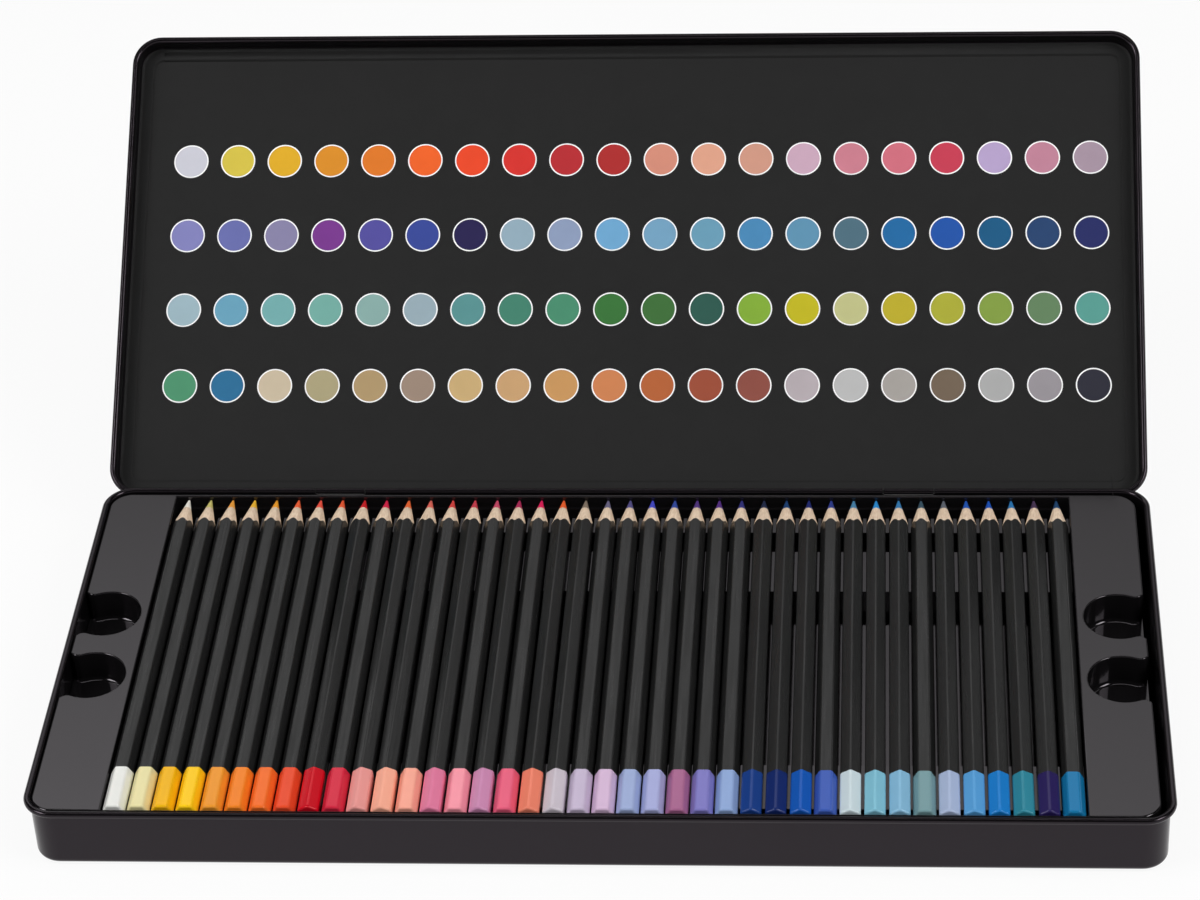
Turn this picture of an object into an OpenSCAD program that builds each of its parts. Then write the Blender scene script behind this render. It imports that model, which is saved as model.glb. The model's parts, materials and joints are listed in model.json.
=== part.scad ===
// A hinged sheet-metal tin with two formed trays, forty pencils in each.
// +X right, +Y towards the hinge, +Z up. The origin is the middle of the face the tin rests on.
// Drawn with the lid open at its stop and everything else in its place.

/* [Tin] */
// Corner radius over the rolled rim
corner_r = 11; // [8:0.5:16]
// Diameter of the rolled rim
rim_d = 2.4; // [2:0.1:2.8]
// Thickness of the steel sheet
tin_sheet = 0.4; // [0.3:0.05:0.5]
// Radius of the edge round the base's floor
foot_r = 2.5; // [2:0.25:3.5]

/* [Lid] */
// Height of the lid, from the bottom of its rolled rim
lid_h = 7; // [6.5:0.25:12]
// Radius of the edge round the lid's top
lid_edge_r = 2; // [1:0.25:2.5]
// Distance from the lid's side to its raised panel
panel_in = 4.6; // [4:0.2:5.6]
// Height of the raised panel over the border round it
panel_rise = 0.7; // [0.3:0.1:1.5]
// Gap between the two rolled rims
rim_gap = 0.3; // [0.3:0.05:0.8]
// Angle of the lid from shut to its stop
lid_open = 142; // [100:1:150]

/* [Hinge] */
// Distance of each hinge from the middle
hinge_out = 105; // [40:1:150]
// Width of the lid's curled lug
lug_w = 18; // [10:1:30]
// Gap at each side of the lug
lug_gap = 0.5; // [0.3:0.1:1]
// Length of pin held in the rolled rim at each side of the lug
pin_grip = 10; // [5:1:20]
// Radial clearance of the pin
pin_run = 0.05; // [0.02:0.01:0.1]

/* [Trays] */
// Thickness of the formed plastic sheet
tray_sheet = 0.5; // [0.4:0.05:0.6]
// Total play of a tray across the tin
play_x = 3; // [1:0.1:4]
// Total play of a tray from front to back
play_y = 1.5; // [0.8:0.1:1.7]
// Gap on the sides that the trays are pushed against
tray_gap = 0.3; // [0.2:0.05:0.4]
// Width of a tray's flat end, from the pencils' trough to its side
flat_w = 24.4; // [20:0.2:40]
// Width of a tray's edge behind the pencil points
back_w = 1.6; // [1.2:0.1:6]
// How much tighter a tray's corners are than the tin's
corner_in = 0.6; // [0.4:0.05:0.7]
// Rounding of a tray's outer top edge
tray_edge_r = 0.8; // [0.6:0.1:1.2]
// Depth of the upper tray's flat ends below the rim
tray_drop = 0.7; // [0.3:0.1:1.2]
// Height of a pencil's underside over the lower tray's floor
low_seat = 1.8; // [1.8:0.1:3]
// Height of a pencil's underside over the upper tray's floor
up_seat = 5.812; // [3:0.1:12]
// Height left over the lower pencils
low_head = 0.3; // [0.2:0.1:1]
// Clearance of the lower tray over the rounded edge of the tin's floor
foot_gap = 0.3; // [0.2:0.05:0.6]
// Slope of the troughs' sides in degrees
trough_draft = 6; // [2:1:8]
// Slope of the combs' ends in degrees
comb_draft = 12; // [5:1:20]
// Width of the flat crest between two grooves
crest_w = 1.2; // [1.2:0.1:1.8]
// Depth of the step behind the pencil points
ledge_d = 1.5; // [1:0.1:2.5]
// Depth of that step below the pencils' axes
ledge_drop = 3; // [2:0.1:3.5]

/* [Finger notches] */
// Radius of a finger notch
notch_r = 12.2; // [10:0.2:14]
// Width of the flat between a notch and the pencils' trough
notch_web = 2.8; // [2:0.1:5]
// Width of the tongue between the two notches of a side
tongue_w = 10; // [8:0.2:16]
// Radius of the flare where a notch meets the side
flare_r = 3; // [2:0.1:3.4]

/* [Combs] */
// Distance of the front comb from the pencils' blunt ends
comb_c_in = 7; // [5:0.5:10]
// Length of the front comb
comb_c_l = 22; // [15:0.5:30]
// Distance of the back comb from the pencils' points
comb_b_in = 27.5; // [22:0.5:40]
// Length of the back comb
comb_b_l = 23; // [15:0.5:26]
// Distance of the point comb from the pencils' points
comb_a_in = 7.5; // [5:0.5:8]
// Length of the point comb
comb_a_l = 8.5; // [6:0.5:9]

/* [Pencils] */
// Length of a pencil
pencil_l = 174; // [150:0.5:185]
// Width of the barrel across its flats
pencil_af = 6.9; // [6:0.05:8]
// Thickness of the dipped coat
dip_t = 0.08; // [0.05:0.01:0.1]
// Length of the dipped end
dip_l = 20; // [14:0.5:24]
// Thickness of the coat on the blunt end
dip_end = 0.6; // [0.4:0.05:1]
// Rounding of the blunt end
dip_round = 0.8; // [0.4:0.1:1.2]
// Diameter of the colored core
core_d = 3.2; // [2.5:0.1:4]
// Diameter of the point
point_d = 0.7; // [0.4:0.1:1]
// Half angle of the sharpened cone in degrees
cone_a = 12; // [10:0.5:14]
// Gap between two pencils, corner to corner
pencil_gap = 0.048; // [0.04:0.002:0.4]
// Gap between a pencil and the bottom of its groove
seat_gap = 0.03; // [0.02:0.01:0.08]
// Gap at each end of a pencil
end_gap = 0.3; // [0.2:0.05:0.4]
// Gap between the outer pencils and the trough's sides
side_gap = 0.2; // [0.15:0.05:0.5]
// Depth of the upper pencils' axes below the rim
pencil_drop = 2.6; // [2.2:0.1:3.6]
// Play of a pencil in its groove
groove_play = 0.1; // [0.08:0.01:0.15]

/* [Hidden] */
$fn = 64;
count = 40;
per_group = 4;
over = 1;
rim_r = rim_d / 2;

// which pencils have a corner on top, and which lie between flat and corner
corner_up = [9, 18, 27, 28, 29, 31, 32, 33, 35, 36, 37, 39];
part_turned = [11, 12, 14, 16, 19, 38];
corner_turn = 30;
part_turn = 24;
// every third pencil of the hidden layer lies with a corner on top
low_every = 3;

// pencils
barrel_r = pencil_af / sqrt(3);
dip_r = barrel_r + 2 * dip_t / sqrt(3);
core_r = core_d / 2;
point_r = point_d / 2;
groove_r = dip_r + groove_play;
pitch = 2 * dip_r + pencil_gap;
cone_slack = 0.5;
cone_from = pencil_l - (barrel_r + cone_slack - point_r) / tan(cone_a);
wood_to = pencil_l - (core_r - point_r) / tan(cone_a);

// the pencils set the size of the trays, and the trays that of the tin
trough_l = pencil_l + 2 * end_gap;
half_trough = count * pitch / 2 + side_gap;
tray_w = 2 * (half_trough + flat_w);
tray_d = tray_sheet + trough_l + back_w;
tin_w = tray_w + play_x + 2 * rim_d;
tin_d = tray_d + play_y + 2 * rim_d;
tray_x = tray_gap - play_x / 2;
tray_y = tray_gap - play_y / 2;
tray_front = tray_y - tray_d / 2;
pencil_front = tray_front + tray_sheet + end_gap;
trough_back = tray_front + tray_sheet + trough_l;
tray_corner_r = corner_r - rim_d - corner_in;
notch_in = flat_w - notch_web - notch_r;
notch_off = notch_r + tongue_w / 2;

// heights of the lower layer, then of the upper one
low_bottom = tin_sheet;
low_axis = low_bottom + tray_sheet + low_seat + seat_gap + dip_r;
low_top = low_axis + dip_r + low_head;
up_bottom = low_top;
up_axis = up_bottom + tray_sheet + up_seat + seat_gap + dip_r;
tin_h = up_axis + pencil_drop;
up_top = tin_h - tray_drop;
low_skirt = foot_r;

// troughs, with a slanted toe that clears the rounded edge of the tin's floor
toe = foot_r - tin_sheet - tray_gap + foot_gap;

// hinge axis, in the middle of the rolled rim
hinge_y = tin_d / 2 - rim_r;
hinge_z = tin_h - rim_r;
pin_r = rim_r - tin_sheet - pin_run;
curl_end = 240;
lug_end = 112;
lid_seat = tin_h + rim_gap;

lower_groups = [for (g = [1 : count / per_group]) g];
function two(n) = n < 10 ? str("0", n) : str(n);
function has(list, n) = len([for (v = list) if (v == n) v]) > 0;
function turn_of(n) = has(corner_up, n) ? corner_turn : has(part_turned, n) ? part_turn : 0;
function low_turn_of(n) = n % low_every == 0 ? corner_turn : 0;
function pencil_x(n) = tray_x + (n - (count + 1) / 2) * pitch;

// ---- helpers ----

// runs a cross-section round a rounded rectangle; the section's x is the distance out from the corner centre
module run_round(w, d, r) {
    for (c = [[1, 1, 0], [-1, 1, 90], [-1, -1, 180], [1, -1, 270]])
        translate([c[0] * (w / 2 - r), c[1] * (d / 2 - r), 0])
            rotate([0, 0, c[2]]) rotate_extrude(angle = 90) children();
    for (s = [0, 1]) rotate([0, 0, 180 * s]) {
        translate([w / 2 - r, d / 2 - r, 0]) rotate([90, 0, 0]) linear_extrude(d - 2 * r) children();
        rotate([0, 0, 90]) translate([d / 2 - r, w / 2 - r, 0]) rotate([90, 0, 0])
            linear_extrude(w - 2 * r) children();
    }
}

module rounded(w, d, r) {
    square([w - 2 * r, d], center = true);
    square([w, d - 2 * r], center = true);
    for (x = [-1, 1], y = [-1, 1]) translate([x * (w / 2 - r), y * (d / 2 - r)]) circle(r);
}

// a quarter of a ring in the first quadrant
module quarter_ring(r, t) {
    intersection() {
        difference() { circle(r); circle(r - t); }
        square(r + over);
    }
}

// the rolled edge: a ring of sheet, open from one angle to another
module curl(from, to) {
    reach = 3 * rim_r;
    mid = (from + to) / 2;
    difference() {
        circle(rim_r);
        circle(rim_r - tin_sheet);
        polygon([[0, 0], reach * [cos(from), sin(from)], 2 * reach * [cos(mid), sin(mid)],
                 reach * [cos(to), sin(to)]]);
    }
}

// ---- tin ----

wall_out = corner_r - rim_d + tin_sheet;   // outer face of the wall, from the corner centre

module base_section() {
    translate([wall_out - foot_r, foot_r]) mirror([0, 1]) quarter_ring(foot_r, tin_sheet);
    translate([wall_out - tin_sheet, foot_r]) square([tin_sheet, hinge_z - foot_r]);
    translate([corner_r - rim_r, hinge_z]) curl(180, curl_end);
}

module lid_section() {
    border = wall_out - tin_sheet - panel_in;
    translate([corner_r - rim_r, rim_r]) curl(360 - curl_end, 180);
    translate([wall_out - tin_sheet, rim_r]) square([tin_sheet, lid_h - lid_edge_r - rim_r]);
    translate([wall_out - lid_edge_r, lid_h - lid_edge_r]) quarter_ring(lid_edge_r, tin_sheet);
    translate([border, lid_h - tin_sheet]) square([wall_out - lid_edge_r - border, tin_sheet]);
    // the slope up to the raised panel
    polygon([[border, lid_h], [border, lid_h - tin_sheet],
             [border - panel_rise, lid_h - tin_sheet + panel_rise],
             [border - panel_rise, lid_h + panel_rise]]);
}

module lug_room(side) {
    half = lug_w / 2 + lug_gap;
    translate([side * hinge_out - half, hinge_y - rim_r - over, hinge_z - rim_r - rim_gap])
        cube([2 * half, rim_d + 2 * over, rim_d + rim_gap + over]);
}

module tin_base() color("#2b2b2d") difference() {
    union() {
        run_round(tin_w, tin_d, corner_r) base_section();
        linear_extrude(tin_sheet)
            rounded(tin_w - 2 * (corner_r - wall_out + foot_r), tin_d - 2 * (corner_r - wall_out + foot_r),
                    wall_out - foot_r);
    }
    lug_room(-1);
    lug_room(1);
}

// the lid's lug: a strap of sheet that comes down from the lid's wall and curls round the pin
module lug() {
    rotate([90, 0, 90]) linear_extrude(lug_w, center = true) {
        translate([-rim_r, 0]) square([tin_sheet, rim_gap + 2 * rim_d]);
        curl(lug_end, 180);
    }
}

module shut_lid() {
    inset = corner_r - (wall_out - tin_sheet - panel_in - panel_rise);
    translate([0, 0, lid_seat]) {
        run_round(tin_w, tin_d, corner_r) lid_section();
        translate([0, 0, lid_h + panel_rise - tin_sheet]) linear_extrude(tin_sheet)
            rounded(tin_w - 2 * inset, tin_d - 2 * inset, corner_r - inset);
    }
    for (s = [-1, 1]) translate([s * hinge_out, hinge_y, hinge_z]) lug();
}

module tin_lid() color("#262628")
    translate([0, hinge_y, hinge_z]) rotate([-lid_open, 0, 0]) translate([0, -hinge_y, -hinge_z]) shut_lid();

module hinge_pin(side) color("#b8babd")
    translate([side * hinge_out, hinge_y, hinge_z]) rotate([0, 90, 0])
        cylinder(r = pin_r, h = lug_w + 2 * (lug_gap + pin_grip), center = true);

// ---- trays ----

// outline of a finger notch, seen from above; +x points out of the tray and g is the growth of the void
module notch_outline(g) {
    r = notch_r + g;
    f = flare_r - g;
    fx = notch_in - flare_r;
    fy = sqrt(pow(notch_r + flare_r, 2) - pow(fx, 2));
    circle(r);
    difference() {
        polygon([[0, 0], [fx, fy], [notch_in + over, fy], [notch_in + over, -fy], [fx, -fy]]);
        for (s = [-1, 1]) translate([fx, s * fy]) circle(f);
    }
}

module notches(g, from, to) {
    for (x = [-1, 1], y = [-1, 1])
        translate([tray_x + x * (tray_w / 2 - notch_in), tray_y + y * notch_off, from])
            rotate([0, 0, x > 0 ? 0 : 180]) linear_extrude(to - from) notch_outline(g);
}

// the outer block of a tray, with its top edge rounded off
module tray_block(bottom, top) {
    e = tray_edge_r;
    translate([tray_x, tray_y, 0]) difference() {
        translate([0, 0, bottom]) linear_extrude(top - bottom) rounded(tray_w, tray_d, tray_corner_r);
        run_round(tray_w, tray_d, tray_corner_r)
            translate([tray_corner_r - e, top - e]) difference() {
                square(e + over);
                circle(e);
            }
    }
}

// the hollow under a tray's flat top
module tray_hollow(bottom, top) {
    t = tray_sheet;
    translate([tray_x, tray_y, bottom - over]) linear_extrude(top - t - bottom + over)
        rounded(tray_w - 2 * t, tray_d - 2 * t, tray_corner_r - t);
}

// the space for the pencils, grown by g on its sides and floor
module trough(floor_z, axis_z, top, g) {
    reach = top + over;
    lean = tan(trough_draft);
    low = floor_z - g;
    in_low = half_trough - (axis_z - low) * lean + g;
    in_top = half_trough + (reach - axis_z) * lean + g;
    front = tray_front + tray_sheet - g;
    back = trough_back + g;
    step_z = axis_z - ledge_drop - g;
    slant = toe + g * (2 - sqrt(2));
    intersection() {
        translate([tray_x, tray_front + tray_d, 0]) rotate([90, 0, 0]) linear_extrude(tray_d)
            polygon([[-in_low, low], [in_low, low], [in_top, reach], [-in_top, reach]]);
        rotate([90, 0, 90]) linear_extrude(tin_w, center = true)
            polygon([[front, low + slant], [front + slant, low],
                     [back - ledge_d - (step_z - low) * lean, low], [back - ledge_d, step_z],
                     [back, step_z], [back, reach], [front, reach]]);
    }
}

// the three combs, shrunk by g: a bar across the trough with a round groove for each pencil
module combs(bottom, axis_z, g) {
    centre_z = axis_z - dip_r - seat_gap + groove_r;
    cut_r = groove_r + g;
    top = centre_z - sqrt(pow(groove_r, 2) - pow((pitch - crest_w) / 2, 2)) - g;
    half = half_trough + tray_sheet / 2 + g;
    lean = (top - bottom) * tan(comb_draft);
    intersection() {
        translate([tray_x, pencil_front + pencil_l, 0]) rotate([90, 0, 0]) linear_extrude(pencil_l)
            difference() {
                translate([-half, bottom]) square([2 * half, top - bottom]);
                for (n = [1 : count]) translate([pencil_x(n) - tray_x, centre_z]) circle(cut_r);
            }
        for (c = [[comb_c_in, comb_c_l], [pencil_l - comb_b_in - comb_b_l, comb_b_l],
                  [pencil_l - comb_a_in - comb_a_l, comb_a_l]])
            translate([tray_x, pencil_front + c[0], 0]) rotate([90, 0, 90])
                linear_extrude(tin_w, center = true)
                    polygon([[g - lean, bottom], [c[1] - g + lean, bottom], [c[1] - g, top], [g, top]]);
    }
}

// bottom is the underside of the trough's floor, skirt the lower edge of the outer wall
module tray(bottom, skirt, top, axis_z) {
    t = tray_sheet;
    difference() {
        union() {
            difference() {
                union() {
                    tray_block(skirt, top);
                    // the trough's floor reaches lower than the skirt
                    trough_shell(bottom, top - t, axis_z);
                }
                difference() {
                    tray_hollow(skirt, top);
                    trough(bottom + t, axis_z, top, t);
                    notches(t, skirt - 2 * over, top + over);
                }
                trough(bottom + t, axis_z, top, 0);
                notches(0, skirt + t, top + over);
            }
            combs(bottom + t / 2, axis_z, 0);
        }
        combs(bottom - over, axis_z, t);
    }
}

module trough_shell(bottom, top, axis_z) intersection() {
    trough(bottom + tray_sheet, axis_z, top, tray_sheet);
    translate([tray_x - tray_w / 2, tray_front, bottom]) cube([tray_w, tray_d, top - bottom]);
}

module upper_tray() color("#1c1c1e") tray(up_bottom, up_bottom, up_top, up_axis);
module lower_tray() color("#18181a") tray(low_bottom, low_skirt, low_top, low_axis);

// ---- pencils ----

lacquer = "#333335";
upper_colors = [
    "white", "lemonchiffon", "goldenrod", "gold", "sandybrown", "orange", "darkorange", "orangered",
    "crimson", "palevioletred", "lightpink", "peachpuff", "lightsalmon", "hotpink", "pink", "plum",
    "lightcoral", "salmon", "lavenderblush", "thistle", "violet", "lightsteelblue", "lavender",
    "mediumvioletred", "mediumpurple", "cornflowerblue", "midnightblue", "navy", "dodgerblue",
    "royalblue", "azure", "powderblue", "lightblue", "cadetblue", "aliceblue", "lightskyblue",
    "deepskyblue", "lightseagreen", "indigo", "steelblue"
];
lower_colors = [
    "paleturquoise", "blue", "teal", "darkcyan", "slategray", "lightslategray", "mediumseagreen",
    "seagreen", "green", "forestgreen", "darkgreen", "darkslategray", "yellowgreen", "yellow",
    "khaki", "olive", "darkkhaki", "olivedrab", "darkseagreen", "mediumaquamarine", "limegreen",
    "turquoise", "wheat", "tan", "burlywood", "rosybrown", "palegoldenrod", "peru", "chocolate",
    "coral", "sienna", "brown", "saddlebrown", "gainsboro", "lightgray", "gray", "maroon",
    "dimgray", "darkgray", "black"
];

// a pencil along +Y: a sharpened hexagonal barrel, the core's cone point and the dipped blunt end
module pencil(x, axis_z, turn, paint) {
    wide = barrel_r + cone_slack;
    sunk = core_r / 2;
    translate([x, pencil_front, axis_z]) rotate([-90, turn, 0]) {
        color(lacquer) intersection() {
            translate([0, 0, dip_end]) cylinder(r = barrel_r, h = pencil_l, $fn = 6);
            rotate_extrude() polygon([[0, 0], [wide, 0], [wide, cone_from], [core_r, wood_to],
                                      [0, wood_to]]);
        }
        color(paint) {
            rotate_extrude() polygon([[0, wood_to - sunk], [core_r - sunk, wood_to - sunk],
                                      [core_r, wood_to], [point_r, pencil_l], [0, pencil_l]]);
            intersection() {
                cylinder(r = dip_r, h = dip_l, $fn = 6);
                rotate_extrude() polygon([[0, -over], [dip_r - dip_round, -over],
                                          [dip_r - dip_round, 0], [dip_r - dip_round / 4, dip_round / 2],
                                          [dip_r + over, dip_round * 3], [dip_r + over, dip_l + over],
                                          [0, dip_l + over]]);
            }
        }
    }
}

module upper_pencil(n) pencil(pencil_x(n), up_axis, turn_of(n), upper_colors[n - 1]);
module lower_pencils(g) for (n = [(g - 1) * per_group + 1 : g * per_group])
    pencil(pencil_x(n), low_axis, low_turn_of(n), lower_colors[n - 1]);

tin_base();
tin_lid();
hinge_pin(-1);  // hinge_pin_left
hinge_pin(1);  // hinge_pin_right
upper_tray();
lower_tray();
upper_pencil(1);  // pencil_01
upper_pencil(2);  // pencil_02
upper_pencil(3);  // pencil_03
upper_pencil(4);  // pencil_04
upper_pencil(5);  // pencil_05
upper_pencil(6);  // pencil_06
upper_pencil(7);  // pencil_07
upper_pencil(8);  // pencil_08
upper_pencil(9);  // pencil_09
upper_pencil(10);  // pencil_10
upper_pencil(11);  // pencil_11
upper_pencil(12);  // pencil_12
upper_pencil(13);  // pencil_13
upper_pencil(14);  // pencil_14
upper_pencil(15);  // pencil_15
upper_pencil(16);  // pencil_16
upper_pencil(17);  // pencil_17
upper_pencil(18);  // pencil_18
upper_pencil(19);  // pencil_19
upper_pencil(20);  // pencil_20
upper_pencil(21);  // pencil_21
upper_pencil(22);  // pencil_22
upper_pencil(23);  // pencil_23
upper_pencil(24);  // pencil_24
upper_pencil(25);  // pencil_25
upper_pencil(26);  // pencil_26
upper_pencil(27);  // pencil_27
upper_pencil(28);  // pencil_28
upper_pencil(29);  // pencil_29
upper_pencil(30);  // pencil_30
upper_pencil(31);  // pencil_31
upper_pencil(32);  // pencil_32
upper_pencil(33);  // pencil_33
upper_pencil(34);  // pencil_34
upper_pencil(35);  // pencil_35
upper_pencil(36);  // pencil_36
upper_pencil(37);  // pencil_37
upper_pencil(38);  // pencil_38
upper_pencil(39);  // pencil_39
upper_pencil(40);  // pencil_40
lower_pencils(1);  // lower_pencils_01
lower_pencils(2);  // lower_pencils_02
lower_pencils(3);  // lower_pencils_03
lower_pencils(4);  // lower_pencils_04
lower_pencils(5);  // lower_pencils_05
lower_pencils(6);  // lower_pencils_06
lower_pencils(7);  // lower_pencils_07
lower_pencils(8);  // lower_pencils_08
lower_pencils(9);  // lower_pencils_09
lower_pencils(10);  // lower_pencils_10
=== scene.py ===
# Looks of a flat hinged tin that holds eighty colored pencils in two formed trays.
import json
import math
import bpy
from mathutils import Matrix, Vector


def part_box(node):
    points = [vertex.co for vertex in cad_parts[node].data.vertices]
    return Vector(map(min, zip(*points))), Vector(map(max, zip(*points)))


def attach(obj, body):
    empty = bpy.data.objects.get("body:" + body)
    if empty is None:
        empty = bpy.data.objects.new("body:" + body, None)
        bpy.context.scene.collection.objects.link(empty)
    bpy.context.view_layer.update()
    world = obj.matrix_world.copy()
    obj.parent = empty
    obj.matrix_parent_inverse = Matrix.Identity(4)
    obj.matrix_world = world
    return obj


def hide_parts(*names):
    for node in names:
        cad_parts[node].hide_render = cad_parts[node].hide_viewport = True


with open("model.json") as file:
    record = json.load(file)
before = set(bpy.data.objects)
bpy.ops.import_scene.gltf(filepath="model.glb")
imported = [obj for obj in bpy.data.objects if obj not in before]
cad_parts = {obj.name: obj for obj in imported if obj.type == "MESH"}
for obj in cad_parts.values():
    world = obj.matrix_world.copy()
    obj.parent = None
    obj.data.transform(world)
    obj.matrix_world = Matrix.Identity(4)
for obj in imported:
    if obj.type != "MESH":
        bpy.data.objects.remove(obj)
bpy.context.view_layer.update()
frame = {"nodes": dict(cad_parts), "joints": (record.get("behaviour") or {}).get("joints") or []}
MM = 0.001

# ---------------------------------------------------------------- colors

# the forty pencils of the upper tray, from left to right: name, dipped end, core
UPPER_COLORS = [
    ("white", (230, 230, 225), (235, 230, 220)), ("cream", (230, 220, 165), (200, 190, 110)),
    ("golden_yellow", (240, 180, 15), (235, 160, 60)),
    ("sun_yellow", (250, 200, 20), (240, 185, 50)),
    ("light_orange", (235, 150, 45), (240, 160, 40)), ("orange", (240, 130, 35), (235, 95, 50)),
    ("bright_orange", (240, 110, 40), (240, 85, 65)), ("red_orange", (230, 75, 40), (230, 90, 50)),
    ("red", (200, 10, 30), (205, 30, 35)), ("crimson", (210, 40, 65), (210, 30, 70)),
    ("salmon", (230, 150, 145), (235, 105, 50)), ("pale_peach", (245, 170, 145), (225, 105, 90)),
    ("peach", (245, 165, 145), (215, 70, 65)), ("rose", (220, 120, 155), (200, 60, 75)),
    ("baby_pink", (245, 150, 165), (205, 75, 105)), ("orchid", (200, 135, 175), (170, 40, 85)),
    ("hot_pink", (230, 95, 125), (225, 25, 90)), ("coral", (235, 130, 105), (235, 95, 40)),
    ("pearl", (200, 190, 200), (130, 115, 100)), ("pale_lilac", (195, 180, 205), (105, 100, 130)),
    ("pink_lilac", (210, 180, 210), (85, 80, 135)), ("wisteria", (155, 170, 210), (70, 75, 200)),
    ("light_periwinkle", (165, 170, 215), (50, 75, 160)),
    ("mauve", (165, 100, 140), (80, 50, 125)),
    ("violet", (125, 120, 190), (85, 45, 130)), ("periwinkle", (140, 165, 210), (50, 50, 125)),
    ("navy", (25, 60, 130), (30, 40, 70)), ("dark_navy", (20, 40, 100), (20, 60, 110)),
    ("true_blue", (20, 85, 175), (30, 40, 110)), ("royal_blue", (60, 90, 175), (45, 60, 140)),
    ("ice", (200, 215, 220), (70, 130, 170)), ("pale_cyan", (125, 185, 205), (40, 140, 210)),
    ("light_blue", (130, 180, 210), (50, 120, 175)), ("gray_teal", (115, 150, 155), (55, 80, 95)),
    ("lavender_blue", (165, 180, 210), (95, 100, 110)),
    ("sky_blue", (85, 155, 210), (30, 85, 180)),
    ("azure", (25, 120, 195), (20, 80, 180)), ("teal", (45, 130, 150), (40, 115, 175)),
    ("dark_indigo", (40, 30, 85), (70, 50, 80)), ("cerulean", (20, 115, 165), (25, 65, 105)),
]

# the printed chart in the lid, row by row from the top, each from left to right
CHART_COLORS = [
    # first row
    ("chalk", (200, 200, 210)), ("straw", (210, 190, 75)), ("amber", (220, 170, 45)),
    ("ochre", (215, 140, 45)), ("marmalade", (220, 120, 45)), ("tangerine", (235, 100, 45)),
    ("vermilion", (230, 75, 45)), ("scarlet", (210, 55, 50)), ("brick_red", (180, 50, 55)),
    ("dark_red", (170, 50, 50)), ("dusty_salmon", (210, 140, 120)), ("apricot", (220, 160, 135)),
    ("tan_rose", (205, 150, 130)), ("pale_orchid", (200, 165, 185)),
    ("dusty_rose", (200, 125, 140)), ("watermelon", (205, 110, 125)),
    ("raspberry", (195, 65, 85)), ("lavender", (180, 160, 200)),
    ("thistle", (190, 130, 150)), ("mauve_gray", (165, 145, 160)),
    # second row
    ("soft_violet", (130, 130, 185)), ("slate_violet", (105, 110, 170)),
    ("gray_purple", (135, 130, 165)), ("purple", (120, 60, 140)), ("indigo", (85, 80, 155)),
    ("ultramarine", (60, 75, 150)), ("midnight", (45, 40, 80)), ("mist_blue", (145, 170, 185)),
    ("cloud_blue", (140, 155, 185)), ("summer_sky", (110, 165, 205)),
    ("steel_blue", (115, 160, 190)), ("lagoon", (105, 155, 180)),
    ("river_blue", (75, 135, 180)), ("denim", (95, 145, 175)),
    ("slate_teal", (80, 110, 125)), ("cobalt", (40, 105, 160)), ("deep_royal", (40, 85, 165)),
    ("petrol", (35, 90, 130)), ("ink_blue", (45, 70, 110)), ("deep_indigo", (45, 50, 100)),
    # third row
    ("frost", (155, 180, 190)), ("pool_blue", (105, 160, 185)), ("seafoam", (115, 170, 170)),
    ("light_jade", (115, 170, 160)), ("sage_teal", (135, 170, 165)),
    ("silver_blue", (150, 170, 180)), ("deep_aqua", (90, 145, 145)),
    ("sea_green", (70, 130, 110)), ("jade", (75, 140, 110)),
    ("leaf", (60, 115, 60)), ("forest", (65, 110, 60)), ("spruce", (50, 90, 80)),
    ("lime", (130, 170, 60)), ("citron", (190, 180, 40)), ("khaki", (190, 190, 135)),
    ("mustard", (185, 170, 50)), ("olive_yellow", (170, 170, 60)), ("moss", (130, 155, 70)),
    ("gray_green", (100, 130, 95)), ("turquoise", (90, 155, 145)),
    # fourth row
    ("emerald", (80, 145, 110)), ("ocean", (50, 110, 150)), ("sand", (200, 185, 160)),
    ("dune", (170, 160, 125)), ("tan", (175, 150, 110)), ("taupe", (155, 135, 120)),
    ("wheat", (200, 170, 120)), ("camel", (200, 160, 115)), ("honey", (200, 150, 95)),
    ("terracotta", (205, 130, 85)), ("sienna", (180, 100, 60)), ("rust", (155, 80, 60)),
    ("russet", (140, 80, 70)), ("warm_silver", (180, 170, 175)), ("silver", (185, 185, 185)),
    ("stone", (165, 160, 155)), ("umber", (115, 100, 85)), ("light_gray", (170, 170, 170)),
    ("mid_gray", (150, 145, 150)), ("black", (50, 50, 60)),
]
# the hidden layer holds the colors of the chart's lower half
LOWER_COLORS = CHART_COLORS[len(UPPER_COLORS):]


def linear(r, g, b):
    """A color given in screen values from 0 to 255, as Blender wants it."""
    return tuple(c / 12.92 if c <= 0.04045 else ((c + 0.055) / 1.055) ** 2.4
                 for c in (r / 255, g / 255, b / 255)) + (1.0,)


# ---------------------------------------------------------------- shared effects

FLOAT, COLOR = "NodeSocketFloat", "NodeSocketColor"
# noise stays between these values for most of its area
NOISE_LOW, NOISE_HIGH = 0.3, 0.7
CLOUD_SCALE, MOTTLE_SCALE = 22.0, 140.0
STREAK_STRETCH = (1, 0.03, 1)


def effect(name, inputs, outputs):
    """A node group with named number or color inputs and outputs."""
    group = bpy.data.node_groups.new(name, "ShaderNodeTree")
    for label, kind, value in inputs:
        socket = group.interface.new_socket(label, in_out="INPUT", socket_type=kind)
        socket.default_value = value
    for label, kind in outputs:
        group.interface.new_socket(label, in_out="OUTPUT", socket_type=kind)
    return group, group.nodes.new("NodeGroupInput"), group.nodes.new("NodeGroupOutput")


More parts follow.
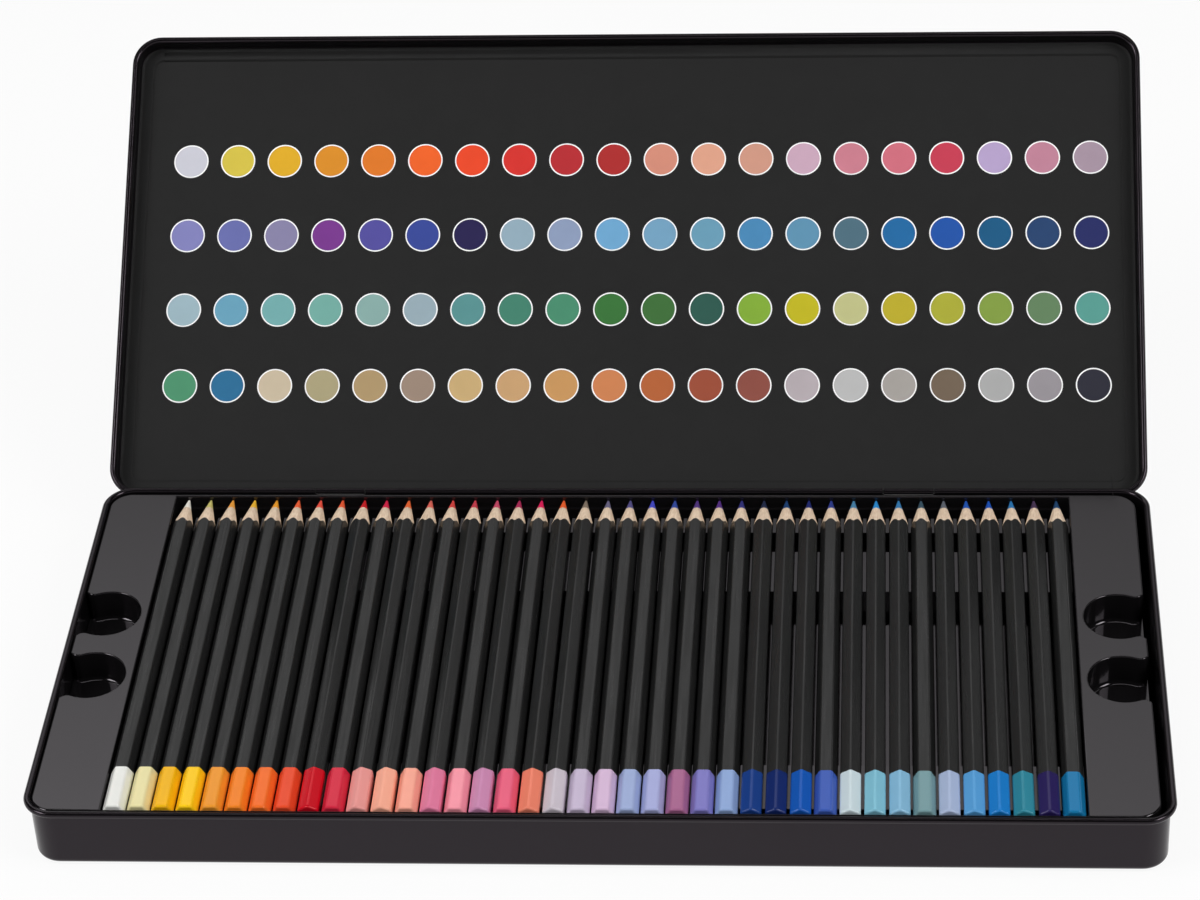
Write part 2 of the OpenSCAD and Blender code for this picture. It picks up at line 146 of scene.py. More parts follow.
def noise(tree, scale, detail=2.0, stretch=(1, 1, 1)):
    """Noise on the piece's own coordinates, drawn out along an axis if asked."""
    place = tree.nodes.new("ShaderNodeTexCoord")
    shape = tree.nodes.new("ShaderNodeMapping")
    shape.inputs["Scale"].default_value = stretch
    field = tree.nodes.new("ShaderNodeTexNoise")
    field.inputs["Detail"].default_value = detail
    if isinstance(scale, (int, float)):
        field.inputs["Scale"].default_value = scale
    else:
        tree.links.new(scale, field.inputs["Scale"])
    tree.links.new(place.outputs["Object"], shape.inputs["Vector"])
    tree.links.new(shape.outputs["Vector"], field.inputs["Vector"])
    return field.outputs["Fac"]


def spread(tree, source, low, high):
    """Turns noise into values from low to high, which are numbers or sockets."""
    to = tree.nodes.new("ShaderNodeMapRange")
    to.inputs["From Min"].default_value = NOISE_LOW
    to.inputs["From Max"].default_value = NOISE_HIGH
    for socket, value in (("To Min", low), ("To Max", high)):
        if isinstance(value, (int, float)):
            to.inputs[socket].default_value = value
        else:
            tree.links.new(value, to.inputs[socket])
    tree.links.new(source, to.inputs["Value"])
    return to.outputs["Result"]


def surface_group():
    """Orange peel of sprayed or formed skins, with a soft change of gloss and shade."""
    group, given, out = effect(
        "skin",
        [("Grain", FLOAT, 900.0), ("Gloss Low", FLOAT, 0.3), ("Gloss High", FLOAT, 0.4),
         ("Color", COLOR, (0.02, 0.02, 0.02, 1)), ("Mottle", FLOAT, 0.1)],
        [("Color", COLOR), ("Roughness", FLOAT), ("Height", FLOAT)])
    peel = noise(group, given.outputs["Grain"], detail=1.0)
    cloud = noise(group, CLOUD_SCALE, detail=3.0)
    rough = spread(group, cloud, given.outputs["Gloss Low"], given.outputs["Gloss High"])
    lift = group.nodes.new("ShaderNodeMath")
    lift.operation = "MULTIPLY_ADD"
    group.links.new(noise(group, MOTTLE_SCALE), lift.inputs[0])
    group.links.new(given.outputs["Mottle"], lift.inputs[1])
    lift.inputs[2].default_value = 1.0
    shade = group.nodes.new("ShaderNodeVectorMath")
    shade.operation = "SCALE"
    group.links.new(given.outputs["Color"], shade.inputs[0])
    group.links.new(lift.outputs[0], shade.inputs["Scale"])
    group.links.new(shade.outputs["Vector"], out.inputs["Color"])
    group.links.new(rough, out.inputs["Roughness"])
    group.links.new(peel, out.inputs["Height"])
    return group


def streak_group():
    """Fine lines along a pencil: wood grain, drawn lacquer or brushed wire."""
    group, given, out = effect(
        "streaks",
        [("Fine", FLOAT, 2500.0), ("Light", COLOR, (0.6, 0.4, 0.25, 1)),
         ("Dark", COLOR, (0.4, 0.25, 0.12, 1)),
         ("Gloss Low", FLOAT, 0.4), ("Gloss High", FLOAT, 0.6)],
        [("Color", COLOR), ("Roughness", FLOAT), ("Height", FLOAT)])
    lines = noise(group, given.outputs["Fine"], detail=3.0, stretch=STREAK_STRETCH)
    mix = group.nodes.new("ShaderNodeMix")
    mix.data_type = "RGBA"
    group.links.new(spread(group, lines, 0.0, 1.0), mix.inputs["Factor"])
    group.links.new(given.outputs["Light"], mix.inputs["A"])
    group.links.new(given.outputs["Dark"], mix.inputs["B"])
    group.links.new(mix.outputs["Result"], out.inputs["Color"])
    group.links.new(spread(group, lines, given.outputs["Gloss Low"], given.outputs["Gloss High"]),
                    out.inputs["Roughness"])
    group.links.new(lines, out.inputs["Height"])
    return group


SKIN, STREAKS = surface_group(), streak_group()


def material(name, group=None, values=None, bump=0.0, **sockets):
    """A Principled material fed by one of the shared effects; sockets hold plain values."""
    made = bpy.data.materials.new(name)
    made.use_nodes = True
    tree = made.node_tree
    shader = tree.nodes["Principled BSDF"]
    for label, value in sockets.items():
        shader.inputs[label.replace("_", " ")].default_value = value
    if group:
        used = tree.nodes.new("ShaderNodeGroup")
        used.node_tree = group
        for label, value in (values or {}).items():
            used.inputs[label].default_value = value
        tree.links.new(used.outputs["Color"], shader.inputs["Base Color"])
        tree.links.new(used.outputs["Roughness"], shader.inputs["Roughness"])
        if bump:
            relief = tree.nodes.new("ShaderNodeBump")
            relief.inputs["Strength"].default_value = 1.0
            relief.inputs["Distance"].default_value = bump
            tree.links.new(used.outputs["Height"], relief.inputs["Height"])
            tree.links.new(relief.outputs["Normal"], shader.inputs["Normal"])
    return made


def tinted(made):
    """Lets the skin's color come from the color painted on the piece's points."""
    tree = made.node_tree
    paint = tree.nodes.new("ShaderNodeAttribute")
    paint.attribute_name = "tint"
    used = next(n for n in tree.nodes if n.type == "GROUP")
    tree.links.new(paint.outputs["Color"], used.inputs["Color"])
    return made


TIN_PAINT = material("tin_paint", SKIN, {
    "Grain": 1400.0, "Gloss Low": 0.14, "Gloss High": 0.2, "Mottle": 0.25,
    "Color": (0.004, 0.0035, 0.004, 1)}, bump=0.000006, Specular_IOR_Level=0.31,
    Specular_Tint=(1.0, 0.84, 0.98, 1))
LID_PANEL = material("lid_panel_paint", SKIN, {
    "Grain": 3200.0, "Gloss Low": 0.6, "Gloss High": 0.7, "Mottle": 0.2,
    "Color": (0.013, 0.013, 0.013, 1)}, bump=0.000015, Specular_IOR_Level=0.15)
TRAY_PLASTIC = material("tray_plastic", SKIN, {
    "Grain": 500.0, "Gloss Low": 0.07, "Gloss High": 0.12, "Mottle": 0.2,
    "Color": (0.006, 0.0055, 0.006, 1)}, bump=0.000004, Specular_IOR_Level=0.5,
    Specular_Tint=(1.0, 0.93, 1.0, 1))
LACQUER = material("barrel_lacquer", STREAKS, {
    "Fine": 1500.0, "Light": (0.016, 0.016, 0.016, 1), "Dark": (0.009, 0.009, 0.009, 1),
    "Gloss Low": 0.26, "Gloss High": 0.34}, bump=0.000003, Specular_IOR_Level=0.4)
WOOD = material("pencil_wood", STREAKS, {
    "Fine": 1700.0, "Light": (0.82, 0.66, 0.50, 1), "Dark": (0.65, 0.48, 0.34, 1),
    "Gloss Low": 0.65, "Gloss High": 0.8}, bump=0.00003, Specular_IOR_Level=0.2)
CORE = tinted(material("pencil_core", SKIN, {
    "Grain": 5200.0, "Gloss Low": 0.45, "Gloss High": 0.6, "Mottle": 0.12}, bump=0.00003,
    Specular_IOR_Level=0.25))
DIP = tinted(material("dipped_end", SKIN, {
    "Grain": 700.0, "Gloss Low": 0.14, "Gloss High": 0.2, "Mottle": 0.05}, bump=0.000004,
    Specular_IOR_Level=0.2))
INK = tinted(material("chart_ink", SKIN, {
    "Grain": 4200.0, "Gloss Low": 0.6, "Gloss High": 0.7, "Mottle": 0.1}, bump=0.00001,
    Specular_IOR_Level=0.05))
WHITE_INK = material("white_ink", SKIN, {
    "Grain": 4200.0, "Gloss Low": 0.6, "Gloss High": 0.7, "Mottle": 0.06,
    "Color": (0.92, 0.92, 0.92, 1)}, bump=0.00001, Specular_IOR_Level=0.2)
DARK_WIRE = material("hinge_wire", STREAKS, {
    "Fine": 3000.0, "Light": (0.02, 0.02, 0.02, 1), "Dark": (0.012, 0.012, 0.012, 1),
    "Gloss Low": 0.3, "Gloss High": 0.4}, bump=0.000004, Specular_IOR_Level=0.36)

# ---------------------------------------------------------------- shop helpers

# points of a CAD mesh that lie closer than this are one point, in meters
SAME_POINT = 0.000001
# faces that turn less than this are one flat face, in degrees
SAME_PLANE = 0.3


def clear_hands():
    """Leaves edit mode with nothing selected."""
    if bpy.context.object and bpy.context.object.mode != "OBJECT":
        bpy.ops.object.mode_set(mode="OBJECT")
    bpy.ops.object.select_all(action="DESELECT")


def take(piece):
    """Selects one piece and makes it active."""
    clear_hands()
    piece.select_set(True)
    bpy.context.view_layer.objects.active = piece


def pick(piece, edges=None, faces=None):
    """Selects edges or faces of the piece by a rule, and leaves it in edit mode."""
    take(piece)
    bpy.ops.object.mode_set(mode="EDIT")
    bpy.ops.mesh.select_mode(type="EDGE" if edges else "FACE")
    bpy.ops.mesh.select_all(action="DESELECT")
    bpy.ops.object.mode_set(mode="OBJECT")
    mesh = piece.data
    found = 0
    if edges:
        sides = {}
        for face in mesh.polygons:
            for key in face.edge_keys:
                sides.setdefault(key, []).append(face)
        for edge in mesh.edges:
            a, b = (mesh.vertices[i].co for i in edge.vertices)
            near = sides.get(tuple(sorted(edge.vertices)), [])
            edge.select = bool(edges(a / MM, b / MM, near))
            found += edge.select
    else:
        for face in mesh.polygons:
            face.select = bool(faces(face.center / MM, face.normal))
            found += face.select
    bpy.ops.object.mode_set(mode="EDIT")
    return found


def round_off(piece, rule, width, steps, clamp=True):
    """Rounds the edges that the rule finds."""
    if pick(piece, edges=rule):
        bpy.ops.mesh.bevel(offset=width * MM, segments=steps, affect="EDGES", clamp_overlap=clamp)
    bpy.ops.object.mode_set(mode="OBJECT")


def placed(name, data):
    """A new object in the scene, from its mesh, lamp or camera data."""
    piece = bpy.data.objects.new(name, data)
    bpy.context.scene.collection.objects.link(piece)
    return piece


def joined(pieces):
    """The first piece, with the others joined on to it."""
    clear_hands()
    for piece in pieces:
        piece.select_set(True)
    bpy.context.view_layer.objects.active = pieces[0]
    bpy.ops.object.join()
    return pieces[0]


def give(piece, *finishes):
    """Puts the materials in the piece's slots, in order."""
    piece.data.materials.clear()
    for finish in finishes:
        piece.data.materials.append(finish)


def finish_off(piece, angle):
    """Smooth shading up to an angle, which keeps flat faces flat."""
    take(piece)
    bpy.ops.object.shade_smooth_by_angle(angle=math.radians(angle))
    even = piece.modifiers.new("even", "WEIGHTED_NORMAL")
    even.keep_sharp = True
    bpy.ops.object.modifier_apply(modifier="even")


def dressed(node, name):
    """A clean copy of a CAD node: seams merged and flat faces made whole."""
    piece = placed(name, frame["nodes"][node].data.copy())
    take(piece)
    bpy.ops.object.mode_set(mode="EDIT")
    bpy.ops.mesh.select_mode(type="VERT")
    bpy.ops.mesh.select_all(action="SELECT")
    bpy.ops.mesh.remove_doubles(threshold=SAME_POINT)
    bpy.ops.mesh.customdata_custom_splitnormals_clear()
    bpy.ops.mesh.dissolve_limited(angle_limit=math.radians(SAME_PLANE))
    bpy.ops.mesh.normals_make_consistent(inside=False)
    bpy.ops.object.mode_set(mode="OBJECT")
    for layer in list(piece.data.uv_layers):
        piece.data.uv_layers.remove(layer)
    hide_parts(node)
    return piece


# ---------------------------------------------------------------- pencils

# lengths and corner radii in millimeters
PENCIL_L, DIP_L = 174.0, 20.0
BARREL_R, DIP_R, CORE_R, POINT_R = 3.984, 4.076, 1.6, 0.35
# how much the sharpened cone widens along its length, from its half angle
SLOPE = math.tan(math.radians(12.0))
WOOD_TO = PENCIL_L - (CORE_R - POINT_R) / SLOPE
# how far the barrel goes on under the dip, and the sharpening cone past the barrel
OVERLAP = 1
CONE_STEPS = 36
# roundings of the barrel's corners, the dip's corners, the blunt end and the worn point
BARREL_ROUND, DIP_ROUND, END_ROUND, POINT_WEAR = 0.5, 0.7, 0.8, 0.12
# an edge that spans more than this runs the length of the pencil
LENGTHWISE = 5
# faces that look more than this toward the point are sharpened ones
SHARPENED = 0.1
# how near a corner of the mesh has to be to an end to lie on it
ON_END = 0.01
# a pencil's materials, and the places in that list of all but the lacquer
COATS = (LACQUER, WOOD, CORE, DIP)
WOODEN, CORED, DIPPED = 1, 2, 3
PENCIL_SMOOTH = 30

# which pencils of the upper tray lie with a corner up, and which between corner and flat
CORNER_UP = (9, 18, 27, 28, 29, 31, 32, 33, 35, 36, 37, 39)
PART_TURNED = (11, 12, 14, 16, 19, 38)
CORNER_ROLL, PART_ROLL = 30, 24
# every third pencil of the lower tray lies with a corner up
LOWER_EVERY = 3
PER_GROUP = 4


def tint(piece, color, blunt=None):
    """Paints the points of a piece; a pencil's blunt half can have a color of its own."""
    layer = piece.data.color_attributes.new("tint", "FLOAT_COLOR", "POINT")
    shades = []
    for point in piece.data.vertices:
        at_blunt_half = point.co.y < PENCIL_L / 2 * MM
        shades += linear(*(blunt if blunt and at_blunt_half else color))
    layer.data.foreach_set("color", shades)


def along(a, b, near):
    """True for an edge that runs the length of the pencil."""
    return abs(a.y - b.y) > LENGTHWISE


def hexagon(start, end, radius):
    """A hexagonal bar from start to end along y, with a flat on top."""
    clear_hands()
    bpy.ops.mesh.primitive_cylinder_add(
        vertices=6, radius=radius * MM, depth=(end - start) * MM,
        location=(0, (end + start) / 2 * MM, 0),
        rotation=(math.radians(90), math.radians(30), 0))
    bar = bpy.context.object
    bpy.ops.object.transform_apply()
    return bar


def make_pencil():
    """One pencil along +Y with its blunt end at the origin and a flat on top."""
    barrel = hexagon(DIP_L - OVERLAP, PENCIL_L, BARREL_R)
    round_off(barrel, along, BARREL_ROUND, 2)

    # sharpened: the pencil is what is left inside a long cone
    length = PENCIL_L - DIP_L + 2 * OVERLAP
    clear_hands()
    bpy.ops.mesh.primitive_cone_add(
        vertices=CONE_STEPS, radius1=(length * SLOPE + POINT_R) * MM, radius2=POINT_R * MM,
        depth=length * MM, location=(0, (PENCIL_L - length / 2) * MM, 0),
        rotation=(math.radians(-90), 0, 0))
    sharpener = bpy.context.object
    bpy.ops.object.transform_apply()
    cut = barrel.modifiers.new("sharpen", "BOOLEAN")
    cut.operation, cut.solver, cut.object = "INTERSECT", "EXACT", sharpener
    take(barrel)
    bpy.ops.object.modifier_apply(modifier="sharpen")
    bpy.data.objects.remove(sharpener)

    # a ring where the core comes out of the wood, and a worn point
    pick(barrel, faces=lambda at, normal: normal.y > SHARPENED)
    bpy.ops.mesh.bisect(plane_co=(0, WOOD_TO * MM, 0), plane_no=(0, 1, 0))
    bpy.ops.object.mode_set(mode="OBJECT")
    round_off(barrel, lambda a, b, near: min(a.y, b.y) > PENCIL_L - ON_END, POINT_WEAR, 1)
    give(barrel, *COATS)
    for face in barrel.data.polygons:
        if face.normal.y > SHARPENED:
            face.material_index = CORED if face.center.y > WOOD_TO * MM else WOODEN

    # the blunt end, dipped in color
    dip = hexagon(0, DIP_L, DIP_R)
    round_off(dip, along, DIP_ROUND, 4)
    round_off(dip, lambda a, b, near: max(a.y, b.y) < ON_END, END_ROUND, 4)
    give(dip, *COATS)
    for face in dip.data.polygons:
        face.material_index = DIPPED
    joined([barrel, dip])
    finish_off(barrel, PENCIL_SMOOTH)
    return barrel


def laid(pattern, name, color, core, at, roll):
    """A copy of the pencil, in its own colors, rolled and laid in its groove."""
    piece = placed(name, pattern.data.copy())
    tint(piece, core, color)
    piece.data.transform(Matrix.Translation(Vector(at) * MM)
                         @ Matrix.Rotation(math.radians(roll), 4, "Y"))
    return piece


def seat_of(node):
    """Where the axis of a node's pencil starts, in millimeters."""
    low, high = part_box(node)
    return (low.x + high.x) / 2 / MM, low.y / MM, (low.z + high.z) / 2 / MM


def roll_of(number):
    """How far a pencil of the upper tray is rolled from flat side up, in degrees."""
    if number in CORNER_UP:
        return CORNER_ROLL
    return PART_ROLL if number in PART_TURNED else 0


pattern = make_pencil()
pitch = (seat_of("pencil_40")[0] - seat_of("pencil_01")[0]) / (len(UPPER_COLORS) - 1)
for number, (name, color, core) in enumerate(UPPER_COLORS, 1):
    node = f"pencil_{number:02d}"
    piece = laid(pattern, f"{node}_{name}", color, core, seat_of(node), roll_of(number))
    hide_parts(node)
    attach(piece, node)
for group in range(len(LOWER_COLORS) // PER_GROUP):
    node = f"lower_pencils_{group + 1:02d}"
    middle, front, height = seat_of(node)
    first = group * PER_GROUP + 1
    last = first + PER_GROUP - 1
    four = []
    for number in range(first, last + 1):
        at = (middle + (number - (first + last) / 2) * pitch, front, height)
        name, color = LOWER_COLORS[number - 1]
        roll = CORNER_ROLL if number % LOWER_EVERY == 0 else 0
        four.append(laid(pattern, f"lower_pencil_{number:02d}_{name}", color, color, at, roll))
    layer = joined(four)
    layer.name = f"lower_pencils_{first:02d}_to_{last:02d}"
    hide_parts(node)
    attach(layer, "lower_tray")
bpy.data.objects.remove(pattern)

# ---------------------------------------------------------------- trays

TRAY_SHEET = 0.5
# the lower tray's skirt ends above the rounded edge of the tin's floor
LOWER_SKIRT = 2.5
FLOOR_FILLET, RIM_ROUND, ROUND_STEPS = 1.6, 0.5, 4
# how far the finger notches reach in from a tray's end, and what is left square at its side
NOTCH_REACH, NOTCH_END = 30, 1
# how near an edge has to be to a level to lie on it
ON_LEVEL = 0.02
# the least that a flat's normal points up, and the most that a wall's does
FLAT_UP, RIM_WALL_UP, NOTCH_WALL_UP = 0.99, 0.3, 0.1
TRAY_SMOOTH = 35


def flat_and_wall(near, wall_up):
    """The level face and the upright one that meet in an edge, or None where it has others."""
    flats = [face for face in near if face.normal.z > FLAT_UP]
    walls = [face for face in near if abs(face.normal.z) < wall_up]
    if len(near) == 2 and len(flats) == 1 and len(walls) == 1:
        return flats[0], walls[0]
    return None


def rim_rule(top):
    """Edges round the flat top: notch mouths and the long sides of the trough."""
    def rule(a, b, near):
        return min(a.z, b.z) >= top - ON_LEVEL and bool(flat_and_wall(near, RIM_WALL_UP))
    return rule


def floor_rule(level, middle, end):
    """Edges where a notch's walls meet its floor, short of the end at the tin's side."""
    def rule(a, b, near):
        inner, outer = sorted((abs(a.x - middle), abs(b.x - middle)))
        if inner < end - NOTCH_REACH or outer > end - NOTCH_END:
            return False
        pair = flat_and_wall(near, NOTCH_WALL_UP)
        if not pair or max(abs(a.z - level), abs(b.z - level)) > ON_LEVEL:
            return False
        # a wall that rises from the floor, not the skirt that drops from its edge
        return pair[1].center.z / MM > level
    return rule


def dress_tray(node, name, skirt):
    """A formed tray with rounded rims and notch floors; the skirt is its wall's lower edge."""
    piece = dressed(node, name)
    low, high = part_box(node)
    middle, end = (low.x + high.x) / 2 / MM, (high.x - low.x) / 2 / MM
    round_off(piece, floor_rule(skirt + TRAY_SHEET, middle, end), FLOOR_FILLET, ROUND_STEPS, False)
    round_off(piece, rim_rule(high.z / MM), RIM_ROUND, ROUND_STEPS, False)
    give(piece, TRAY_PLASTIC)
    finish_off(piece, TRAY_SMOOTH)
    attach(piece, node)


dress_tray("upper_tray", "upper_tray_formed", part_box("upper_tray")[0].z / MM)
dress_tray("lower_tray", "lower_tray_formed", LOWER_SKIRT)

# ---------------------------------------------------------------- tin

hinge = next(joint for joint in frame["joints"] if joint["name"] == "lid_hinge")
pin_low, pin_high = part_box("hinge_pin_left")
# a point of the hinge's line in millimeters, and the open lid's two directions:
# out of its inner face, and from the hinge to its far edge
HINGE = Vector((0, (pin_low.y + pin_high.y) / 2, (pin_low.z + pin_high.z) / 2)) / MM
LID_OPEN = math.radians(max(hinge["range_deg"]) - min(hinge["range_deg"]))
INWARD = Vector((0, -math.sin(LID_OPEN), -math.cos(LID_OPEN)))
UP_LID = Vector((0, -math.cos(LID_OPEN), math.sin(LID_OPEN)))
# faces of the lid that lie deeper than this under the hinge's line, and look into the tin
# more than this, belong to its flat inside
FLAT_FROM, LOOKS_IN = 7, 0.65
TIN_SMOOTH = 40

base = dressed("tin_base", "tin_base_painted")
give(base, TIN_PAINT)
finish_off(base, TIN_SMOOTH)
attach(base, "base")

lid = dressed("tin_lid", "tin_lid_painted")
give(lid, TIN_PAINT, LID_PANEL)
for face in lid.data.polygons:
    depth = (HINGE - face.center / MM).dot(INWARD)
    if face.normal.dot(INWARD) > LOOKS_IN and depth > FLAT_FROM:
        face.material_index = 1
finish_off(lid, TIN_SMOOTH)
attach(lid, "lid")

for side in ("left", "right"):
    give(frame["nodes"][f"hinge_pin_{side}"], DARK_WIRE)

# ---------------------------------------------------------------- color chart

# heights of the rows over the hinge's line, up the lid
CHART_ROWS = (133.2, 103.2, 73.4, 43.4)
CHART_COLUMNS = len(CHART_COLORS) // len(CHART_ROWS)
CHART_PITCH, CHART_MIDDLE = 18.035, 2.35
SPOT_R, RING_W, SPOT_STEPS = 6.65, 0.5, 40
# the panel's depth under the hinge's line, and how far the ink stands off it
PANEL_DEPTH, INK_RISE = 8.8, 0.03


def make_spot():
    """One printed spot: a disc of ink with a white ring, in the plane of x and y."""
    clear_hands()
    bpy.ops.mesh.primitive_circle_add(
        vertices=SPOT_STEPS, radius=SPOT_R * MM, fill_type="NGON")
    spot = bpy.context.object
    give(spot, INK, WHITE_INK)
    pick(spot, faces=lambda at, normal: True)
    bpy.ops.mesh.inset(thickness=RING_W * MM)
    bpy.ops.object.mode_set(mode="OBJECT")
    for face in spot.data.polygons:
        face.material_index = 0 if len(face.vertices) == SPOT_STEPS else 1
    return spot


spot = make_spot()
on_lid = Matrix((Vector((1, 0, 0)), UP_LID, INWARD)).transposed().to_4x4()
spots = []
for row, height in enumerate(CHART_ROWS):
    for column in range(CHART_COLUMNS):
        at = HINGE + UP_LID * height - INWARD * (PANEL_DEPTH - INK_RISE)
        at.x = CHART_MIDDLE + (column - (CHART_COLUMNS - 1) / 2) * CHART_PITCH
        copy = placed("spot", spot.data.copy())
        copy.data.transform(Matrix.Translation(at * MM) @ on_lid)
        tint(copy, CHART_COLORS[row * CHART_COLUMNS + column][1])
        spots.append(copy)
chart = joined(spots)
bpy.data.objects.remove(spot)
chart.name = "color_chart"
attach(chart, "lid")

# ---------------------------------------------------------------- table and room

TABLE_SIZE, TABLE_GAP = 8, 0.0002
TABLE_WHITE = 0.88
# how much of the table is blank paper, and how bright the room is: first for rays that only
# light the scene, then for rays that see it
TABLE_BLANK, ROOM_LIGHT = (0.0, 0.9), (0.3, 1.0)


def seen(nodes, links, hidden, shown):
    """A value for rays that only light the scene, and another for those that see it."""
    path = nodes.new("ShaderNodeLightPath")
    first, both, value = (nodes.new("ShaderNodeMath") for _ in range(3))
    links.new(path.outputs["Is Camera Ray"], first.inputs[0])
    links.new(path.outputs["Is Glossy Ray"], first.inputs[1])
    links.new(first.outputs[0], both.inputs[0])
    links.new(path.outputs["Is Transmission Ray"], both.inputs[1])
    both.use_clamp = True
    value.operation = "MULTIPLY_ADD"
    links.new(both.outputs[0], value.inputs[0])
    value.inputs[1].default_value = shown - hidden
    value.inputs[2].default_value = hidden
    return value.outputs[0]


def white_table():
    """Matt white that is lit by the lamps, and nearly blank where a ray sees it."""
    white = material("white_table", Base_Color=(TABLE_WHITE, TABLE_WHITE, TABLE_WHITE, 1),
                     Roughness=0.9, Specular_IOR_Level=0.0)
    nodes, links = white.node_tree.nodes, white.node_tree.links
    paper = nodes.new("ShaderNodeEmission")
    blend = nodes.new("ShaderNodeMixShader")
    links.new(seen(nodes, links, *TABLE_BLANK), blend.inputs["Fac"])
    links.new(nodes["Principled BSDF"].outputs["BSDF"], blend.inputs[1])
    links.new(paper.outputs["Emission"], blend.inputs[2])
    links.new(blend.outputs["Shader"], nodes["Material Output"].inputs["Surface"])
    return white


clear_hands()
bpy.ops.mesh.primitive_grid_add(
    x_subdivisions=2, y_subdivisions=2, size=TABLE_SIZE, location=(0, 0, -TABLE_GAP))
table = bpy.context.object
table.name = "table_top"
bpy.ops.object.transform_apply()
give(table, white_table())

world = bpy.data.worlds.new("white_room")
bpy.context.scene.world = world
world.use_nodes = True
sky = world.node_tree.nodes["Background"]
sky.inputs["Color"].default_value = (1, 1, 1, 1)
world.node_tree.links.new(seen(world.node_tree.nodes, world.node_tree.links, *ROOM_LIGHT),
                          sky.inputs["Strength"])

# ---------------------------------------------------------------- tent

# A dark tent, seen in gloss only, keeps black paint black above the table's reflection: a painted
# dark reflection.
# Its windows glow without being lamps, as painted reflections that light nothing. Each is a
# product of ramps along an
# axis: where the ramp starts and ends, in meters from the middle of the table, and its value at
# the start and the end.
TENT_SIZE, TENT_MIDDLE = 6, 3.8
# the painted back reflection is brighter towards the left
BACK_WINDOW = (("Z", 1.54, 3.3, 0.0, 1.9), ("Z", 3.3, 3.6, 1.0, 0.0),
               ("Y", 2.8, 2.9, 0.0, 1.0), ("X", -1.5, 1.5, 1.2, 0.75))
SIDE_WINDOW = (("Y", -2.8, -2.6, 0.0, 9.0), ("Y", -0.7, -0.5, 1.0, 0.0),
               ("Z", 2.0, 2.2, 0.0, 1.0), ("Z", 4.4, 4.6, 1.0, 0.0))
LEFT_WALL, RIGHT_WALL = ("X", -2.9, -2.8, 1.0, 0.0), ("X", 2.8, 2.9, 0.0, 1.0)


def window(nodes, links, place, ranges):
    """The light of one window, as a socket."""
    light = None
    for axis, start, end, low, high in ranges:
        part, step = nodes.new("ShaderNodeMapRange"), nodes.new("ShaderNodeMath")
        for label, value in (("From Min", start), ("From Max", end),
                             ("To Min", low), ("To Max", high)):
            part.inputs[label].default_value = value
        links.new(place.outputs[axis], part.inputs["Value"])
        step.operation = "MULTIPLY"
        step.inputs[0].default_value = 1.0
        if light:
            links.new(light, step.inputs[0])
        links.new(part.outputs["Result"], step.inputs[1])
        light = step.outputs[0]
    return light


def tent_cloth():
    """Dark cloth with one wide glowing window at the back and a small bright one at each side:
    painted reflections, seen in gloss only.
    """
    cloth = material("dark_cloth", Base_Color=(0.01, 0.01, 0.01, 1), Roughness=1.0,
                     Specular_IOR_Level=0.0, Emission_Color=(1, 1, 1, 1))
    nodes, links = cloth.node_tree.nodes, cloth.node_tree.links
    at, place = nodes.new("ShaderNodeTexCoord"), nodes.new("ShaderNodeSeparateXYZ")
    links.new(at.outputs["Object"], place.inputs[0])
    glow = window(nodes, links, place, BACK_WINDOW)
    for wall in (LEFT_WALL, RIGHT_WALL):
        both = nodes.new("ShaderNodeMath")
        links.new(glow, both.inputs[0])
        links.new(window(nodes, links, place, (wall, *SIDE_WINDOW)), both.inputs[1])
        glow = both.outputs[0]
    links.new(glow, nodes["Principled BSDF"].inputs["Emission Strength"])
    return cloth


clear_hands()
bpy.ops.mesh.primitive_cube_add(size=TENT_SIZE, location=(0, 0, TENT_MIDDLE))
tent = bpy.context.object
tent.name = "dark_tent"
bpy.ops.object.transform_apply()
pick(tent, faces=lambda at, normal: normal.z < -0.5)
bpy.ops.mesh.delete(type="FACE")
bpy.ops.object.mode_set(mode="OBJECT")
give(tent, tent_cloth())
tent.visible_camera = tent.visible_diffuse = False
tent.visible_transmission = tent.visible_shadow = False

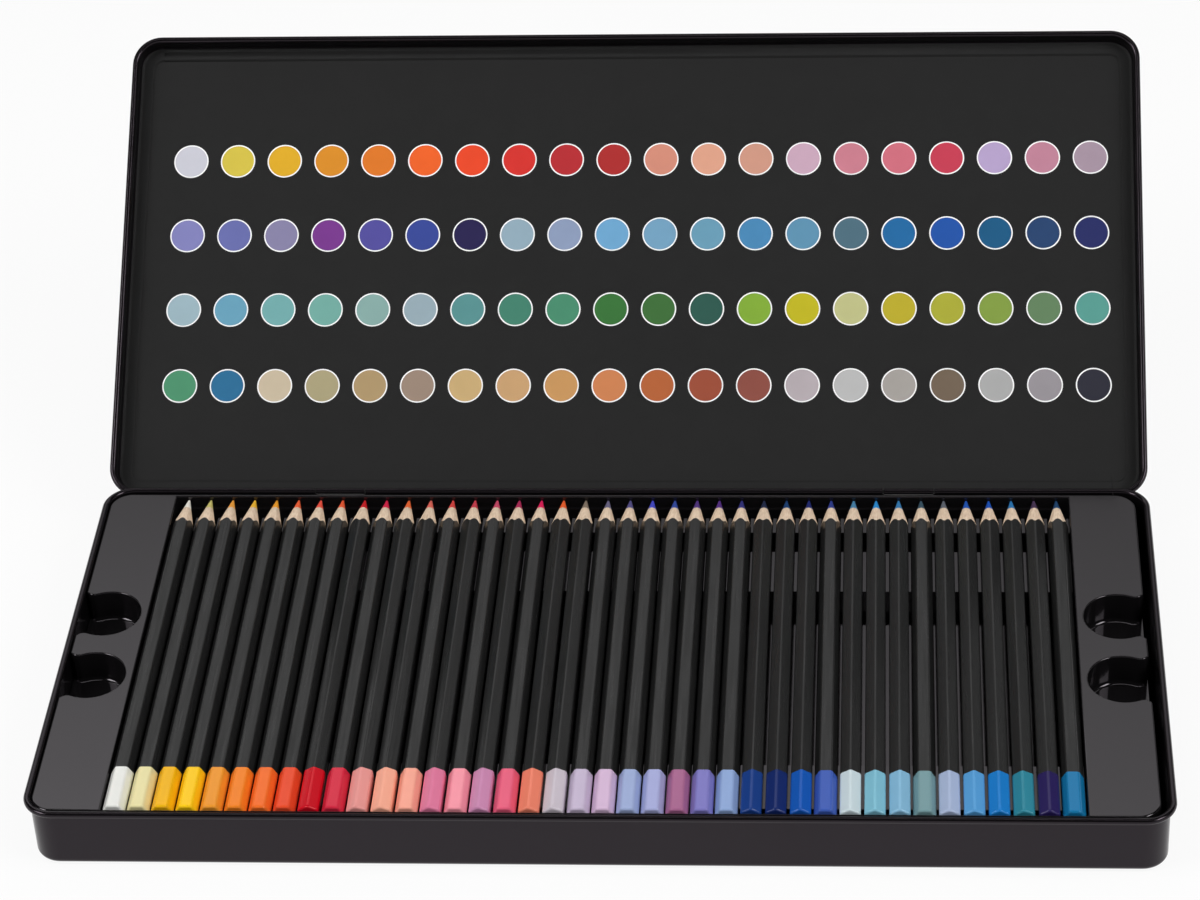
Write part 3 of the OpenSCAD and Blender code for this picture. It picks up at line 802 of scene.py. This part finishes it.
# ---------------------------------------------------------------- lamps and camera

SOFTBOX_AT, SOFTBOX_SIZE, SOFTBOX_POWER = (1.05, -0.35, 1.1), (0.8, 0.8), 10.8
STRIP_AT, STRIP_SIZE, STRIP_POWER = (0, -0.05, 1.6), (1.2, 0.14), 2.2
LENS, SENSOR = 114.498, 36
SHIFT_X, SHIFT_Y = -0.03, 0.01
CLIP_NEAR, CLIP_FAR = 0.05, 20
CAMERA_AT = (0.096495, -1.034502, 0.864066)
# how far the camera looks down, turns right and rolls, in radians
DOWN, TURN, ROLL = 0.632811, -0.080956, -0.047765


def lamp(name, at, size, power, mirrored=True):
    """A soft lamp turned to the middle of the table; gloss mirrors it if asked."""
    data = bpy.data.lights.new(name, "AREA")
    data.shape, data.size, data.size_y, data.energy = "RECTANGLE", size[0], size[1], power
    made = placed(name, data)
    made.location = at
    made.rotation_euler = (-Vector(at)).to_track_quat("-Z", "Y").to_euler()
    made.visible_glossy = mirrored


out, front, height = SOFTBOX_AT
lamp("left_softbox", (-out, front, height), SOFTBOX_SIZE, SOFTBOX_POWER, mirrored=False)
lamp("right_softbox", (out, front, height), SOFTBOX_SIZE, SOFTBOX_POWER, mirrored=False)
lamp("top_strip", STRIP_AT, STRIP_SIZE, STRIP_POWER)

data = bpy.data.cameras.new("camera")
data.lens, data.sensor_width = LENS, SENSOR
data.shift_x, data.shift_y = SHIFT_X, SHIFT_Y
data.clip_start, data.clip_end = CLIP_NEAR, CLIP_FAR
camera = placed("camera", data)
ahead = Vector((math.sin(TURN) * math.cos(DOWN), math.cos(TURN) * math.cos(DOWN),
                -math.sin(DOWN)))
level = Vector((math.cos(TURN), -math.sin(TURN), 0))
over = level.cross(ahead)
right = level * math.cos(ROLL) + over * math.sin(ROLL)
top = over * math.cos(ROLL) - level * math.sin(ROLL)
camera.matrix_world = Matrix.Translation(CAMERA_AT) @ Matrix(
    (right, top, -ahead)).transposed().to_4x4()
bpy.context.scene.camera = camera
bpy.context.scene.view_settings.view_transform = "Standard"
